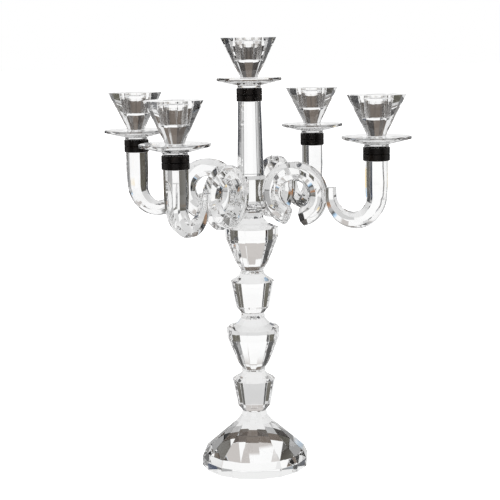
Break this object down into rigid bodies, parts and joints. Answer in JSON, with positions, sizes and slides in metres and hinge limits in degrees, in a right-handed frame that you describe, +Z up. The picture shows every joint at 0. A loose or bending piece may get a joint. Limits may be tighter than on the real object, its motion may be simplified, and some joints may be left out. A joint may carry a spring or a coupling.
{
  "type": "candelabrum",
  "caption": "Cut-crystal branched candelabrum with a faceted foot, beaded stem, scrolled arms, drip pans and flared candle cups on dark screw ferrules.",
  "frame": {"origin": "centre of the foot's underside, on the stem's axis", "axes": "+Z up the stem; -Y towards the viewer's side, with the arms at 29.6 degrees clockwise of +X, +Y, -X and -Y seen from above"},
  "size_m": [0.3668, 0.3666, 0.525],
  "materials": {
    "crystal": "cut and polished clear crystal",
    "bronzed_metal": "near-black bronzed metal, finely ribbed, semi-gloss",
    "steel": "plain turned steel"
  },
  "bodies": {
    "stand": {"foot": "crystal", "bead_small_lower": "crystal", "bead_large_lower": "crystal", "bead_small_upper": "crystal", "bead_large_upper": "crystal", "hub": "crystal", "column": "crystal", "scroll_front_right": "crystal", "scroll_back_right": "crystal", "scroll_back_left": "crystal", "scroll_front_left": "crystal", "arm_rod_front_right": "crystal", "arm_rod_back_right": "crystal", "arm_rod_back_left": "crystal", "arm_rod_front_left": "crystal", "socket_centre": "bronzed_metal", "socket_front_right": "bronzed_metal", "socket_back_right": "bronzed_metal", "socket_back_left": "bronzed_metal", "socket_front_left": "bronzed_metal"},
    "screw_centre": {"stud_centre": "steel"},
    "light_centre": {"collar_centre": "bronzed_metal", "neck_centre": "crystal", "drip_pan_centre": "crystal", "candle_cup_centre": "crystal"},
    "screw_front_right": {"stud_front_right": "steel"},
    "light_front_right": {"collar_front_right": "bronzed_metal", "neck_front_right": "crystal", "drip_pan_front_right": "crystal", "candle_cup_front_right": "crystal"},
    "screw_back_right": {"stud_back_right": "steel"},
    "light_back_right": {"collar_back_right": "bronzed_metal", "neck_back_right": "crystal", "drip_pan_back_right": "crystal", "candle_cup_back_right": "crystal"},
    "screw_back_left": {"stud_back_left": "steel"},
    "light_back_left": {"collar_back_left": "bronzed_metal", "neck_back_left": "crystal", "drip_pan_back_left": "crystal", "candle_cup_back_left": "crystal"},
    "screw_front_left": {"stud_front_left": "steel"},
    "light_front_left": {"collar_front_left": "bronzed_metal", "neck_front_left": "crystal", "drip_pan_front_left": "crystal", "candle_cup_front_left": "crystal"}
  },
  "joints": [
    {"name": "light_centre_lift", "type": "slide", "parent": "stand", "child": "screw_centre", "axis": [0, 0, 1], "range_m": [0, 0.00302]},
    {"name": "light_centre_unscrew", "type": "hinge", "parent": "screw_centre", "child": "light_centre", "pos_m": [0, 0, 0.4579], "axis": [0, 0, 1], "range_deg": [0, 1080]},
    {"name": "light_front_right_lift", "type": "slide", "parent": "stand", "child": "screw_front_right", "axis": [0, 0, 1], "range_m": [0, 0.00302]},
    {"name": "light_front_right_unscrew", "type": "hinge", "parent": "screw_front_right", "child": "light_front_right", "pos_m": [0.14381, -0.0817, 0.3923], "axis": [0, 0, 1], "range_deg": [0, 1080]},
    {"name": "light_back_right_lift", "type": "slide", "parent": "stand", "child": "screw_back_right", "axis": [0, 0, 1], "range_m": [0, 0.00302]},
    {"name": "light_back_right_unscrew", "type": "hinge", "parent": "screw_back_right", "child": "light_back_right", "pos_m": [0.0817, 0.14381, 0.3923], "axis": [0, 0, 1], "range_deg": [0, 1080]},
    {"name": "light_back_left_lift", "type": "slide", "parent": "stand", "child": "screw_back_left", "axis": [0, 0, 1], "range_m": [0, 0.00302]},
    {"name": "light_back_left_unscrew", "type": "hinge", "parent": "screw_back_left", "child": "light_back_left", "pos_m": [-0.14381, 0.0817, 0.3923], "axis": [0, 0, 1], "range_deg": [0, 1080]},
    {"name": "light_front_left_lift", "type": "slide", "parent": "stand", "child": "screw_front_left", "axis": [0, 0, 1], "range_m": [0, 0.00302]},
    {"name": "light_front_left_unscrew", "type": "hinge", "parent": "screw_front_left", "child": "light_front_left", "pos_m": [-0.0817, -0.14381, 0.3923], "axis": [0, 0, 1], "range_deg": [0, 1080]}
  ],
  "couplings": [
    {"joint": "light_centre_lift", "follows": "light_centre_unscrew", "m_per_rad": 0.00015915},
    {"joint": "light_front_right_lift", "follows": "light_front_right_unscrew", "m_per_rad": 0.00015915},
    {"joint": "light_back_right_lift", "follows": "light_back_right_unscrew", "m_per_rad": 0.00015915},
    {"joint": "light_back_left_lift", "follows": "light_back_left_unscrew", "m_per_rad": 0.00015915},
    {"joint": "light_front_left_lift", "follows": "light_front_left_unscrew", "m_per_rad": 0.00015915}
  ]
}
